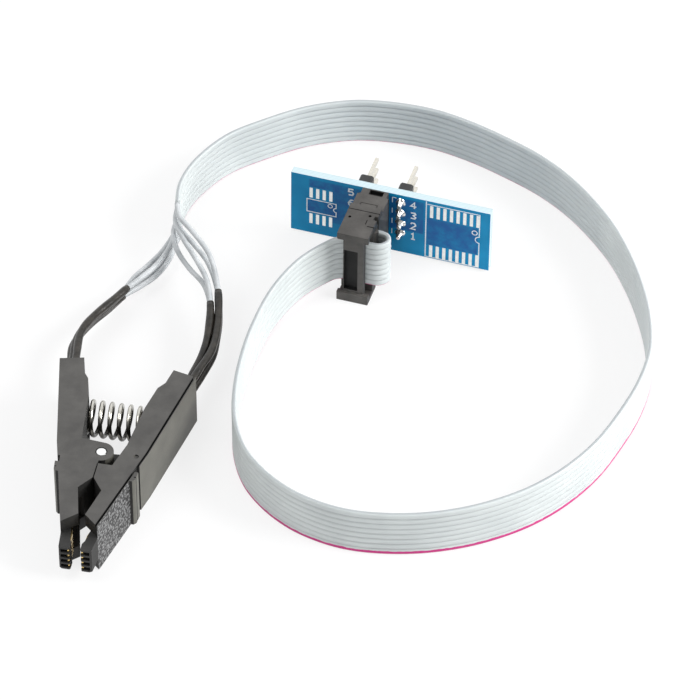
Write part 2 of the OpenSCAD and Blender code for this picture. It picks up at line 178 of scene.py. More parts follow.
# inside the socket, in the socket's own axes: under the bar, round the side, into the crimp
fold_route = [
    (-2.6, -12.35), (2.6, -12.35), (4.3, -12.1), (5.3, -11.2), (5.5, -10.2),
    (4.9, -9.2), (3.9, -8.83), (2.6, -8.78), (-2.9, -8.78),
]
# socket and board stand turned by 6 degrees and lean by 2
STOOD = (Matrix.Translation(Vector((35.54, 70.32, 0.55)) * MM)
         @ Euler((math.radians(-2), 0, math.radians(-6))).to_matrix().to_4x4())
socket_mid_z = 7.25 * MM


def shades(finish, feed, low, dark, high, light):
    """Colours for a value, from dark at its low limit to light at its high one."""
    made = step(finish, "ValToRGB", feed)
    for end, limit, colour in zip(made.color_ramp.elements, (low, high), (dark, light)):
        end.position = limit
        end.color = (*colour, 1)
    return made.outputs[0]


def grained(finish, spot, scale, detail, strength, depth):
    """Fine uneven relief over the whole surface."""
    fine = step(finish, "TexNoise", spot, None, scale, detail)
    relief = step(finish, "Bump", strength, depth, None, fine.outputs["Fac"])
    put(finish, "Normal", relief.outputs[0])


def smooth_line(points, steps):
    """Points of a smooth curve through a route."""
    line = []
    last = len(points) - 1
    for i in range(last):
        a, b = points[max(i - 1, 0)], points[i]
        c, d = points[i + 1], points[min(i + 2, last)]
        for k in range(steps):
            t = k / steps
            line.append(0.5 * (2 * b + (c - a) * t + (2 * a - 5 * b + 4 * c - d) * t * t
                               + (3 * b - a - 3 * c + d) * t * t * t))
    line.append(points[-1])
    return line


def skin(name, rings, finish, ends=True):
    """A closed tube through rings of points, with its ends filled."""
    sides = len(rings[0])
    faces = []
    for i in range(len(rings) - 1):
        for k in range(sides):
            j = (k + 1) % sides
            faces.append((i * sides + k, i * sides + j, (i + 1) * sides + j, (i + 1) * sides + k))
    if ends:
        faces.append(tuple(reversed(range(sides))))
        faces.append(tuple((len(rings) - 1) * sides + k for k in range(sides)))
    mesh = bpy.data.meshes.new(name)
    mesh.from_pydata([p for ring in rings for p in ring], [], faces)
    outward = bmesh.new()
    outward.from_mesh(mesh)
    bmesh.ops.recalc_face_normals(outward, faces=outward.faces)
    outward.to_mesh(mesh)
    outward.free()
    mesh.shade_smooth()
    mesh.materials.append(finish)
    made = bpy.data.objects.new(name, mesh)
    bpy.context.scene.collection.objects.link(made)
    return made


def store(made, name, values):
    """Keeps one number for each point of the mesh, for its finish to read."""
    kept = made.data.attributes.new(name, "FLOAT", "POINT")
    kept.data.foreach_set("value", values)


STEPS = 6
STEPS_PER_WIRE = 8
fold_line = [STOOD @ Vector((x * MM, y * MM, socket_mid_z)) for x, y in fold_route]
ribbon_line = smooth_line([Vector(p) * MM for p in loop_route] + fold_line, STEPS)
upright = Vector((0, 0, 1))
leaning = STOOD.to_3x3() @ upright

# half of the section, as (place across the cable, half thickness there), edge to edge
ribbon_section = []
for wire in range(WIRES):
    middle = (wire + 0.5) * PITCH - ribbon_half
    for k in range(STEPS_PER_WIRE):
        off = (k / STEPS_PER_WIRE - 0.5) * 2
        swell = math.sqrt(max(0, 1 - off * off))
        depth = (groove_thick + (ribbon_thick - groove_thick) * swell) / 2
        ribbon_section.append((middle + off * PITCH / 2, depth))
ribbon_section[0] = (-ribbon_half, edge_thick / 2)
ribbon_section.append((ribbon_half, edge_thick / 2))

# the section leans over to the socket's own upright along the last stretch of the loop
lean_start, lean_steps = 35, 4
ribbon_rings, ribbon_across, ribbon_outer = [], [], []
for i, point in enumerate(ribbon_line):
    ahead = ribbon_line[min(i + 1, len(ribbon_line) - 1)]
    behind = ribbon_line[max(i - 1, 0)]
    heading = (ahead - behind).normalized()
    share = min(1, max(0, (i / STEPS - lean_start) / lean_steps))
    up = upright.lerp(leaning, share).normalized()
    side = heading.cross(up).normalized()
    ring = [point + up * v + side * t for v, t in ribbon_section]
    ring += [point + up * v - side * t for v, t in reversed(ribbon_section)]
    ribbon_rings.append(ring)
    ribbon_across += [v for v, t in ribbon_section] + [v for v, t in reversed(ribbon_section)]
    ribbon_outer += [0.0] * len(ribbon_section) + [1.0] * len(ribbon_section)

cable_grey = new_finish("cable_grey", Roughness=0.42, Specular_IOR_Level=0.4)
place = step(cable_grey, "TexCoord").outputs["Object"]
across = step(cable_grey, "Attribute", attribute_name="across").outputs["Fac"]
clouds = step(cable_grey, "TexNoise", place, None, 90.0, 3.0)
tone = shades(cable_grey, clouds.outputs["Fac"], 0.3, (0.515, 0.55, 0.55), 0.7, (0.59, 0.625, 0.62))
# painted shade: the grooves between the wires are darkened in their colour
lane = step(cable_grey, "Math", across, PITCH, operation="DIVIDE")
lane_part = step(cable_grey, "Math", lane.outputs[0], 1.0, operation="FLOORED_MODULO")
lane_mid = step(cable_grey, "Math", lane_part.outputs[0], 0.5, operation="SUBTRACT")
lane_edge = step(cable_grey, "Math", lane_mid.outputs[0], operation="ABSOLUTE")
groove = step(cable_grey, "MapRange", lane_edge.outputs[0], 0.42, 0.5, 0.0, 0.62)
groove_painted_shade = step(cable_grey, "MixRGB", groove.outputs[0], tone, (0.27, 0.29, 0.31, 1))
# printed red line on the lowest edge, a little uneven, wide on the outer face of the loop only
outer = step(cable_grey, "Attribute", attribute_name="outer").outputs["Fac"]
reach = step(cable_grey, "MapRange", outer, 0.0, 1.0, -ribbon_half + 0.2 * MM, -ribbon_half + 0.78 * MM)
wander = step(cable_grey, "TexNoise", place, None, 700.0, 2.0)
uneven = step(cable_grey, "MapRange", wander.outputs["Fac"], 0.3, 0.7, 0.0, 0.14 * MM)
limit = step(cable_grey, "Math", reach.outputs[0], uneven.outputs[0], operation="ADD")
marked = step(cable_grey, "Math", across, limit.outputs[0], operation="LESS_THAN")
coloured = step(cable_grey, "MixRGB", marked.outputs[0], groove_painted_shade.outputs[0], LINE_RED)
put(cable_grey, "Base Color", coloured.outputs[0])
grained(cable_grey, place, 1600.0, 3.0, 0.25, 0.02 * MM)

ribbon = skin("flat_cable", ribbon_rings, cable_grey)
store(ribbon, "across", ribbon_across)
store(ribbon, "outer", ribbon_outer)
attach(ribbon, "left_handle")
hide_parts("ribbon_cable")


# ---------------------------------------------------------------- single wires
# Past the split, each wire of the cable goes alone to one contact of the clip: four to
# the left arm and four to the right. Grey vinyl over copper strands, soldered in the arm.
CLIP_MID_Z = 5.6
left_route = [(-11.4, 26.2), (-12.1, 31.6), (-10.9, 36.8), (-8.7, 41.8), (-6.8, 46.2),
              (-4.8, 50.2), (-2.8, 54.2), (-1.4, 59)]
right_route = [(11.3, 26.4), (12.2, 31.8), (11.9, 37.6), (10.9, 43.4), (9.2, 48.8),
               (6.4, 53.8), (2.8, 58.2), (0, 61.8)]
pocket = Vector((10.32, 21.05))
pocket_heading = Vector((0.2055, 0.9787))


# the right-hand wires close up to two by two, the left-hand ones lean over each other, and all
# spread again at the cable, each with a bow of its own
# (shares for each point of the route, and distances in millimetres)
BUNDLED = [0, 0.5, 1, 1, 1, 0.5, 0.15, 0]
ASIDE = [0.6, 0.75, 0.76, 0.76, 0.76, 0.74, 0.45, 0.19]
LEANING = [0.4, 0.8, 1, 1, 0.9, 0.5, 0.2, 0]
BOWED = [0, 0, 0, 0, 0.3, 1, 1, 0.4]
bows = {-1: [-0.3, 0.5, -1.0, 0.2], 1: [-1.8, 0.2, -0.5, 0.5]}
TWO_ABOVE = 0.75
POCKET_OFF = 0.4
IN_POCKET = 4.1
# height of each four's middle at the edge of the cable
END_MIDDLE = {-1: 2.555, 1: 7.635}


def wire_line(side, k):
    """Middle line of wire k of one side, -1 or 1, from its contact to the edge of the flat cable."""
    off = -POCKET_OFF if k % 2 == 0 else POCKET_OFF
    one_above = (k - 1.5) * PITCH / MM
    heading = Vector((side * pocket_heading.x, pocket_heading.y))
    start = Vector((side * pocket.x, pocket.y)) + off * Vector((heading.y, -heading.x))
    route = [Vector(p) for p in (left_route if side < 0 else right_route)]
    end_middle = END_MIDDLE[side]
    foot = start - IN_POCKET * heading
    points = [Vector((p.x, p.y, CLIP_MID_Z + one_above)) for p in (foot, start)]
    for i, p in enumerate(route):
        away = (p - (route[i - 1] if i else start)).normalized()
        if side > 0:
            spread = math.copysign(ASIDE[i], off)
            level = (1 - BUNDLED[i]) * one_above + BUNDLED[i] * (-TWO_ABOVE if k < 2 else TWO_ABOVE)
        else:
            spread = off * (1 - LEANING[i]) + 0.5 * one_above * LEANING[i]
            level = one_above * (1 + 0.06 * LEANING[i])
        spread += BOWED[i] * bows[side][k]
        t = (i + 1) / len(route)
        middle = CLIP_MID_Z + (end_middle - CLIP_MID_Z) * t * t * (3 - 2 * t)
        points.append(Vector((p.x + spread * away.y, p.y - spread * away.x, middle + level)))
    points.append(Vector((loop_route[0][0], loop_route[0][1] - 0.3, end_middle + one_above)))
    return smooth_line([p * MM for p in points], STEPS)


def round_rings(line, radius, sides):
    """Rings of a round section along a line. The radius may be a number for each ring."""
    made = []
    for i, point in enumerate(line):
        heading = (line[min(i + 1, len(line) - 1)] - line[max(i - 1, 0)]).normalized()
        side = heading.cross(upright).normalized()
        up = side.cross(heading)
        r = radius[i] if isinstance(radius, list) else radius
        made.append([point + r * (math.cos(a) * side + math.sin(a) * up)
                     for a in (2 * math.pi * (k + 0.5) / sides for k in range(sides))])
    return made


wire_grey = new_finish("wire_grey", Roughness=0.4, Specular_IOR_Level=0.4)
place = step(wire_grey, "TexCoord").outputs["Object"]
shade = step(wire_grey, "TexNoise", place, None, 300.0, 3.0)
plain = shades(wire_grey, shade.outputs["Fac"], 0.3, (0.40, 0.42, 0.43), 0.7, (0.56, 0.58, 0.59))
put(wire_grey, "Base Color", plain)
grained(wire_grey, place, 2500.0, 2.0, 0.3, 0.03 * MM)

# the first wire keeps its printed red line, which lies underneath
wire_marked = wire_grey.copy()
wire_marked.name = "wire_marked"
sideways = step(wire_marked, "Attribute", attribute_name="round").outputs["Fac"]
stripe = step(wire_marked, "Math", sideways, -0.9, operation="LESS_THAN")
plain = wire_marked.node_tree.nodes["Color Ramp"].outputs[0]
red = step(wire_marked, "MixRGB", stripe.outputs[0], plain, LINE_RED)
put(wire_marked, "Base Color", red.outputs[0])


# ---------------------------------------------------------------- shrunk sleeves
# Black shrink tube over each solder joint, from inside the arm to half way along the
# single wire. It is thin, a little uneven where it has shrunk, and cut off square.
wire_radius = 0.49 * MM
sleeve_radius = 0.73 * MM
sleeve_bore = 0.52 * MM
ROUND = 14
# where each sleeve ends, in half stretches of its wire's route
sleeve_ends = [12, 12, 12, 12, 10, 11, 10, 11]

sleeve_black = new_finish("sleeve_black", Roughness=0.3, Specular_IOR_Level=0.35)
place = step(sleeve_black, "TexCoord").outputs["Object"]
dust = step(sleeve_black, "TexNoise", place, None, 500.0, 4.0)
put(sleeve_black, "Base Color", shades(sleeve_black, dust.outputs["Fac"], 0.35, (0.010, 0.009, 0.007),
                                       0.75, (0.036, 0.031, 0.025)))
grained(sleeve_black, place, 900.0, 3.0, 0.8, 0.16 * MM)

for number in range(1, 9):
    side = -1 if number <= 4 else 1
    k = (number - 1) % 4
    line = wire_line(side, k)
    made = skin(f"lead_wire_{number}", round_rings(line, wire_radius, ROUND),
                wire_marked if number == 1 else wire_grey)
    around = [math.sin(2 * math.pi * (j + 0.5) / ROUND) for j in range(ROUND)]
    store(made, "round", around * len(line))

    half = STEPS // 2
    covered = line[half:sleeve_ends[number - 1] * half + 1]
    outer = [sleeve_radius * (1 + 0.035 * math.sin(0.9 * i + number)) for i in range(len(covered))]
    outer[0] = outer[-1] = sleeve_radius * 0.93
    shell = round_rings(covered, outer, ROUND)
    hollow = round_rings(covered, sleeve_bore, ROUND)
    sleeve = skin(f"shrunk_sleeve_{number}", shell + hollow[::-1] + shell[:1], sleeve_black, False)

    for piece, node in ((made, f"wire_{number}"), (sleeve, f"sleeve_{number}")):
        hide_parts(node)
        if side < 0:
            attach(piece, "left_handle")
        else:
            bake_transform(piece)


# ---------------------------------------------------------------- clip arms
# Two copies of one injection moulding in black glass-filled nylon, finely textured all
# over and pebbled on the front grips. Mould edges are slightly round.
HINGE_Y = -0.4 * MM


def rounded(node, name, width, finishes, pick=None):
    """A copy of a solid with its edges rounded. Pick gives a face its place in the finishes."""
    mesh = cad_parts[node].data.copy()
    mesh.materials.clear()
    for finish in finishes:
        mesh.materials.append(finish)
    work = bmesh.new()
    work.from_mesh(mesh)
    bmesh.ops.remove_doubles(work, verts=work.verts, dist=1e-7)
    bmesh.ops.dissolve_limit(work, angle_limit=math.radians(0.5), verts=work.verts, edges=work.edges,
                             delimit={"NORMAL"})
    bmesh.ops.recalc_face_normals(work, faces=work.faces)
    edges = [e for e in work.edges if len(e.link_faces) == 2 and e.calc_face_angle() > math.radians(40)]
    bmesh.ops.bevel(work, geom=edges, offset=width, offset_type="OFFSET", segments=2, profile=0.5,
                    affect="EDGES", clamp_overlap=True)
    for face in work.faces:
        face.smooth = True
        face.material_index = pick(face.calc_center_median(), face.normal) if pick else 0
    for edge in work.edges:
        edge.smooth = len(edge.link_faces) == 2 and edge.calc_face_angle() < math.radians(40)
    work.to_mesh(mesh)
    work.free()
    made = bpy.data.objects.new(name, mesh)
    bpy.context.scene.collection.objects.link(made)
    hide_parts(node)
    return made


def evened(piece):
    """Shades the wide faces flat between their round edges."""
    even = piece.modifiers.new("even_shading", "WEIGHTED_NORMAL")
    even.keep_sharp = True


def applied(made, modifier):
    """Turns what a modifier makes into the object's own plain mesh."""
    bpy.context.view_layer.update()
    seen = made.evaluated_get(bpy.context.evaluated_depsgraph_get())
    mesh = bpy.data.meshes.new_from_object(seen)
    made.modifiers.remove(modifier)
    made.data = mesh


def prism(outline, low, high):
    """A block over a flat outline, between two heights, as its points and faces."""
    n = len(outline)
    points = [(x, y, z) for z in (low, high) for x, y in outline]
    faces = [tuple(range(n)), tuple(range(2 * n - 1, n - 1, -1))]
    faces += [(i, (i + 1) % n, (i + 1) % n + n, i + n) for i in range(n)]
    return points, faces


def scored(piece, cuts, finish, turn=Matrix()):
    """Cuts prisms, in millimetres of the turned axes, out of a copy. The cut takes the finish."""
    points, faces = [], []
    for more, sides in cuts:
        faces += [tuple(i + len(points) for i in side) for side in sides]
        points += [turn @ (Vector(p) * MM) for p in more]
    mesh = bpy.data.meshes.new("cut")
    mesh.from_pydata(points, [], faces)
    outward = bmesh.new()
    outward.from_mesh(mesh)
    bmesh.ops.recalc_face_normals(outward, faces=outward.faces)
    outward.to_mesh(mesh)
    outward.free()
    mesh.materials.append(finish)
    tool = bpy.data.objects.new("cut", mesh)
    bpy.context.scene.collection.objects.link(tool)
    carve = piece.modifiers.new("carve", "BOOLEAN")
    carve.operation = "DIFFERENCE"
    carve.solver = "EXACT"
    carve.material_mode = "TRANSFER"
    carve.object = tool
    applied(piece, carve)
    bpy.data.objects.remove(tool)


def moulded(name, dark, light, roughness, grain_height):
    """Moulded plastic with a faint cloud in its tone and a fine grain."""
    made = new_finish(name, Roughness=roughness, Specular_IOR_Level=0.4)
    spot = step(made, "TexCoord").outputs["Object"]
    cloud = step(made, "TexNoise", spot, None, 220.0, 4.0, 0.6)
    put(made, "Base Color", shades(made, cloud.outputs["Fac"], 0.32, dark, 0.7, light))
    grained(made, spot, 4200.0, 3.0, 0.5, grain_height)
    return made


arm_plastic = moulded("arm_plastic", (0.050, 0.048, 0.045), (0.080, 0.077, 0.072), 0.52, 0.04 * MM)
# painted light: a lighter, warmer copy of the arm plastic for the outer sides, where the light falls on
# them
arm_side_painted_light = moulded("arm_side_painted_light", (0.085, 0.083, 0.070), (0.115, 0.112, 0.095), 0.45, 0.03 * MM)
# painted shade: a near-black copy of the arm plastic for the inner faces, sunk flats, tip and cut
# grooves, where shade falls
arm_inner_painted_shade = moulded("arm_inner_painted_shade", (0.014, 0.014, 0.013), (0.026, 0.025, 0.024), 0.6, 0.03 * MM)
# painted highlight and painted shade: the pebble tops are coloured light grey and the gaps between them
# near black, over black nylon
grip_pebble = new_finish("grip_pebble", Roughness=0.42, Specular_IOR_Level=0.5)
place = step(grip_pebble, "TexCoord").outputs["Object"]
cells = step(grip_pebble, "TexVoronoi", place, None, 1900.0)
put(grip_pebble, "Base Color", shades(grip_pebble, cells.outputs["Distance"], 0.22, (0.24, 0.24, 0.24),
                                      0.62, (0.010, 0.010, 0.010)))
rise = step(grip_pebble, "Bump", 1.0, 0.25 * MM, None, cells.outputs["Distance"], invert=True)
put(grip_pebble, "Normal", rise.outputs[0])


TIP_Y = HINGE_Y - 18.6 * MM
NOSE_Y = HINGE_Y - 17.5 * MM
RIB_Y = HINGE_Y - 6.2 * MM


def arm_face(middle, normal):
    """Outer sides a little glossier and painted lighter as painted light, pebbled between rib and nose,
    and a dull near-black painted shade inside, on sunk flats and at the tip.
    """
    if abs(normal.z) > 0.55:
        sunk = abs(middle.z - CLIP_MID_Z * MM) < 5 * MM
        return 3 if sunk or middle.y < TIP_Y else 0
    outward = normal.x * (1 if middle.x > 0 else -1)
    if outward < 0.45 or middle.y < TIP_Y:
        return 3
    return 1 if NOSE_Y < middle.y < RIB_Y and abs(middle.x) > 3.2 * MM else 2


# a fine groove follows the outer edge along the top of the moulding; its faces take the near-black
# painted shade
edge_line = [(12.68, 22.1), (8.18, 0.6), (6.3, -6.43), (3.18, -18.1), (3.0, -18.8),
             (2.6, -18.8), (2.76, -18.1), (5.87, -6.43), (7.77, 0.6), (12.27, 22.1)]
# the rib behind the grip is split by a fine line and undercut at its rear, both cut in the near-black
# painted shade
rib_cuts = ([(7.0, -5.5), (8.2, -5.5), (8.2, -5.28), (7.0, -5.28)],
            [(6.75, -4.15), (8.2, -4.15), (8.2, -2.7), (6.9, -2.7)])
arm_finishes = [arm_plastic, grip_pebble, arm_side_painted_light, arm_inner_painted_shade]
for hand, side, low, high in (("left", -1, -1, 0.7), ("right", 1, 10.5, 12)):
    arm = rounded(f"{hand}_arm", f"clip_arm_{hand}", 0.12 * MM, arm_finishes, arm_face)
    scored(arm, [prism([(side * x, y) for x, y in edge_line], low, high)], arm_inner_painted_shade)
    scored(arm, [prism([(side * x, y) for x, y in cut], -1, 12) for cut in rib_cuts], arm_inner_painted_shade)
    evened(arm)
    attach(arm, f"{hand}_handle")


# ---------------------------------------------------------------- hinge pin
# Ground steel pin through the interleaved ears, chamfered at both ends and held by friction
# in the left arm's ears.

def plated(name, colour, roughness, scale, depth):
    """Drawn or plated metal with a fine lay of scratches."""
    made = new_finish(name, Roughness=roughness, Metallic=1.0)
    spot = step(made, "TexCoord").outputs["Object"]
    lay = step(made, "TexNoise", spot, None, scale, 4.0, 0.6)
    dull = [c * 0.82 for c in colour]
    put(made, "Base Color", shades(made, lay.outputs["Fac"], 0.3, dull, 0.7, colour))
    height = step(made, "Bump", 0.4, depth, None, lay.outputs["Fac"])
    put(made, "Normal", height.outputs[0])
    return made


def dress(node, finish):
    """Gives a solid that stays as it is its finish."""
    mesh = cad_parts[node].data
    mesh.materials.clear()
    mesh.materials.append(finish)


pin_steel = plated("pin_steel", (0.92, 0.92, 0.90), 0.3, 1800.0, 0.02 * MM)
dress("hinge_pin", pin_steel)


# ---------------------------------------------------------------- spring
# Compression spring of nickel-plated music wire between the handles, its end turns closed
# and seated in blind pockets of both arms.
spring_middle = (0, HINGE_Y + 12.8 * MM, CLIP_MID_Z * MM)


def tree_socket(tree, name, kind, way="INPUT"):
    """A named socket of a node tree."""
    return tree.interface.new_socket(name, in_out=way, socket_type="NodeSocket" + kind)


def tree_step(tree, kind, *feeds, **settings):
    """One node of a geometry tree, fed in the order of its inputs."""
    made = tree.nodes.new(kind)
    for setting, value in settings.items():
        setattr(made, setting, value)
    for socket, feed in zip([s for s in made.inputs if s.enabled], feeds):
        if isinstance(feed, bpy.types.NodeSocket):
            tree.links.new(feed, socket)
        elif feed is not None:
            socket.default_value = feed
    return made


def grown(name, tree, values):
    """The plain mesh that a geometry tree makes for these values of its named inputs."""
    seed = bpy.data.objects.new(name, bpy.data.meshes.new(name))
    bpy.context.scene.collection.objects.link(seed)
    build = seed.modifiers.new("build", "NODES")
    build.node_group = tree
    for item in tree.interface.items_tree:
        if item.in_out == "INPUT" and item.name in values:
            build[item.identifier] = values[item.name]
    applied(seed, build)
    return seed


spring_steel = plated("spring_steel", (0.62, 0.60, 0.54), 0.16, 1200.0, 0.02 * MM)
# painted shade: the colour darkens towards the lower half of the coil, for the dark reflections and
# shade there
height = step(spring_steel, "SeparateXYZ", step(spring_steel, "TexCoord").outputs["Object"])
painted_low_shade = step(spring_steel, "MapRange", height.outputs["Z"], 4.6 * MM, 9.0 * MM, 0.97, 0.0)
lay = spring_steel.node_tree.nodes["Color Ramp"].outputs[0]
darkened = step(spring_steel, "MixRGB", painted_low_shade.outputs[0], lay, (0.03, 0.028, 0.024, 1))
put(spring_steel, "Base Color", darkened.outputs[0])

coil_tree = bpy.data.node_groups.new("wound_spring", "GeometryNodeTree")
for label, kind in (("Turns", "Float"), ("Open pitch", "Float"), ("Closed pitch", "Float"),
                    ("Coil radius", "Float"), ("Wire radius", "Float"), ("First angle", "Float"),
                    ("Middle", "Vector"), ("Finish", "Material")):
    tree_socket(coil_tree, label, kind)
tree_socket(coil_tree, "Geometry", "Geometry", "OUTPUT")
given = coil_tree.nodes.new("NodeGroupInput").outputs


def coil_math(operation, *feeds):
    return tree_step(coil_tree, "ShaderNodeMath", *feeds, operation=operation).outputs[0]


STEPS_PER_TURN = 40
steps_total = coil_math("MULTIPLY", given["Turns"], float(STEPS_PER_TURN))
count = coil_math("ADD", steps_total, 1.0)
row = tree_step(coil_tree, "GeometryNodeMeshLine", count, mode="OFFSET")
index = tree_step(coil_tree, "GeometryNodeInputIndex").outputs[0]
turn = coil_math("DIVIDE", index, float(STEPS_PER_TURN))
open_turns = coil_math("SUBTRACT", given["Turns"], 2.0)
first = coil_math("MINIMUM", turn, 1.0)
past_first = coil_math("SUBTRACT", turn, 1.0)
middle_part = coil_math("MAXIMUM", coil_math("MINIMUM", past_first, open_turns), 0.0)
last_start = coil_math("SUBTRACT", given["Turns"], 1.0)
final = coil_math("MAXIMUM", coil_math("SUBTRACT", turn, last_start), 0.0)
closed = coil_math("MULTIPLY", coil_math("ADD", first, final), given["Closed pitch"])
opened = coil_math("MULTIPLY", middle_part, given["Open pitch"])
half_open = coil_math("MULTIPLY", open_turns, coil_math("MULTIPLY", given["Open pitch"], 0.5))
along_coil = coil_math("SUBTRACT", coil_math("ADD", closed, opened),
                       coil_math("ADD", given["Closed pitch"], half_open))
angle = coil_math("ADD", coil_math("MULTIPLY", turn, 2 * math.pi), given["First angle"])
coil_y = coil_math("MULTIPLY", coil_math("COSINE", angle), given["Coil radius"])
coil_z = coil_math("MULTIPLY", coil_math("SINE", angle), given["Coil radius"])
spot = tree_step(coil_tree, "ShaderNodeCombineXYZ", along_coil, coil_y, coil_z).outputs[0]
seated = tree_step(coil_tree, "ShaderNodeVectorMath", spot, given["Middle"], operation="ADD").outputs[0]
bent = tree_step(coil_tree, "GeometryNodeSetPosition", row.outputs[0], True, seated)
wire_path = tree_step(coil_tree, "GeometryNodeMeshToCurve", bent.outputs[0])
wire_round = tree_step(coil_tree, "GeometryNodeCurvePrimitiveCircle", 12)
coil_tree.links.new(given["Wire radius"], wire_round.inputs["Radius"])
wound = tree_step(coil_tree, "GeometryNodeCurveToMesh", wire_path.outputs[0], wire_round.outputs[0])
wound.inputs["Fill Caps"].default_value = True
smooth = tree_step(coil_tree, "GeometryNodeSetShadeSmooth", wound.outputs[0])
real = tree_step(coil_tree, "GeometryNodeRealizeInstances", smooth.outputs[0])
dressed = tree_step(coil_tree, "GeometryNodeSetMaterial", real.outputs[0], True)
coil_tree.links.new(given["Finish"], dressed.inputs["Material"])
coil_out = coil_tree.nodes.new("NodeGroupOutput")
coil_tree.links.new(dressed.outputs[0], coil_out.inputs[0])

spring = grown("handle_spring", coil_tree, {
    "Turns": 9.4, "Open pitch": 1.72 * MM, "Closed pitch": 0.83 * MM, "Coil radius": 3.05 * MM,
    "Wire radius": 0.4 * MM, "First angle": math.radians(108), "Middle": spring_middle,
    "Finish": spring_steel})
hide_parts("spring")
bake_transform(spring)


# ---------------------------------------------------------------- contacts
# Eight strips of gold-plated bronze, stamped and pushed into grooves of the arms. Each
# ends bare on the inside of one slot of the jaw, where a lead of the chip comes to lie.
contact_gold = plated("contact_gold", (0.95, 0.70, 0.28), 0.24, 900.0, 0.02 * MM)
for number in range(1, 9):
    dress(f"contact_{number}", contact_gold)


# ---------------------------------------------------------------- crimped socket
# Housing, cover and strain relief moulded in black polyester, matt and a little brown. The
# cover was pressed over the cable, and the strain relief clips over both ends.
socket_plastic = moulded("socket_plastic", (0.040, 0.037, 0.034), (0.085, 0.080, 0.074), 0.5, 0.05 * MM)
# painted shade: a darker copy of the socket plastic for the faces turned to the socket's right, which
# lie in shade
socket_side_painted_shade = moulded("socket_side_painted_shade", (0.013, 0.014, 0.014), (0.028, 0.028, 0.028), 0.5, 0.04 * MM)
# painted shade: a near-black copy for the cut marks and the sunk panel, where shade falls in them
socket_recess_painted_shade = moulded("socket_recess_painted_shade", (0.003, 0.003, 0.003), (0.010, 0.010, 0.009), 0.7, 0.03 * MM)
socket_right = STOOD.to_3x3() @ Vector((1, 0, 0))


def disc(x, y, radius, low, high):
    """A round prism."""
    return prism([(x + radius * math.cos(a), y + radius * math.sin(a))
                  for a in (math.pi * k / 8 for k in range(16))], low, high)


def strip(left, front, right, back, low, high):
    """A square prism between two corners."""
    return prism([(left, front), (right, front), (right, back), (left, back)], low, high)


# parting line, dimples and latch marks in the top of the strain relief, and its sunk panel, all cut in
# the near-black painted shade
ABOVE = 15.8
relief_marks = [
    strip(-3.2, -7.88, 3.2, -7.72, 15.2, ABOVE), disc(-2.06, -10.0, 0.28, 15.1, ABOVE),
    disc(1.44, -8.8, 0.28, 15.1, ABOVE), strip(1.7, -11.7, 3.3, -11.5, 15.15, ABOVE),
    strip(1.2, -11.2, 1.34, -9.9, 15.3, ABOVE), strip(-1.75, -15.3, 0.85, -13.7, 1.6, 11.2),
]
# the windows of the latches, a little wider than in the solid, at both ends of the housing, also in
# painted shade
housing_marks = [strip(-0.95, -1.85, 1.65, -0.6, low, low + 1.6) for low in (-0.5, 13.4)]
# faces turned to the right take the painted shade copy, and the cut marks the near-black painted shade
for node, name, marks in (("socket_housing", "crimp_housing", housing_marks),
                          ("socket_cover", "crimp_cover", None),
                          ("strain_relief", "cable_strain_relief", relief_marks)):
    piece = rounded(node, name, 0.1 * MM, [socket_plastic, socket_side_painted_shade, socket_recess_painted_shade],
                    lambda middle, normal: 1 if normal.dot(socket_right) > 0.6 else 0)
    if marks:
        scored(piece, marks, socket_recess_painted_shade, STOOD)
    evened(piece)
    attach(piece, "left_handle")
dress("socket_contacts", contact_gold)


# ---------------------------------------------------------------- adapter board
# Glass-epoxy board, milled to size, with glossy blue solder mask on both faces. The milled
# edges show the pale resin. Copper under the mask looks darker than the bare laminate.
BOARD_LEFT = -16.45 * MM
BOARD_THICK = 1.6 * MM


def in_board(finish):
    """Coordinates in the standing board's own axes: along it, through it and up."""
    spot = step(finish, "TexCoord").outputs["Object"]
    turned = step(finish, "Mapping", spot, STOOD.to_translation(), STOOD.to_euler(),
                  vector_type="TEXTURE")
    return turned.outputs[0]


board_blue = new_finish("board_blue", Roughness=0.3, Specular_IOR_Level=0.16)
local = in_board(board_blue)
parts = step(board_blue, "SeparateXYZ", local)


def within(finish, value, low, high):
    """1 between the two limits, with a short soft edge."""
    soft = 0.15 * MM
    rise = step(finish, "MapRange", value, low - soft, low + soft, 0.0, 1.0)
    fall = step(finish, "MapRange", value, high - soft, high + soft, 1.0, 0.0)
    return step(finish, "Math", rise.outputs[0], fall.outputs[0], operation="MULTIPLY").outputs[0]


def copper_patch(finish, axes, left, right, low, high):
    """Mask of a copper area, in millimetres from the board's left and bottom edges."""
    wide = within(finish, axes.outputs["X"], BOARD_LEFT + left * MM, BOARD_LEFT + right * MM)
    tall = within(finish, axes.outputs["Z"], low * MM, high * MM)
    return step(finish, "Math", wide, tall, operation="MULTIPLY").outputs[0]


copper = copper_patch(board_blue, parts, 26.3, 36.0, 3.3, 9.8)
for patch in ((3.2, 8.3, 5.0, 8.3), (3.5, 13.5, 11.4, 13.2), (8.0, 13.0, 3.5, 12.5),
              (19.0, 25.6, 5.5, 13.3)):
    more = copper_patch(board_blue, parts, *patch)
    copper = step(board_blue, "Math", copper, more, operation="MAXIMUM").outputs[0]
haze = step(board_blue, "TexNoise", local, None, 160.0, 3.0)
tone = shades(board_blue, haze.outputs["Fac"], 0.3, (0.003, 0.205, 0.43), 0.7, (0.004, 0.265, 0.52))
tracks = step(board_blue, "TexNoise", local, None, 420.0, 4.0, 0.65)
worn = step(board_blue, "MapRange", tracks.outputs["Fac"], 0.36, 0.60, 0.45, 1.0)
shown = step(board_blue, "Math", copper, worn.outputs[0], operation="MULTIPLY")
deep = step(board_blue, "MixRGB", shown.outputs[0], tone, (0.010, 0.105, 0.32, 1))
put(board_blue, "Base Color", deep.outputs[0])
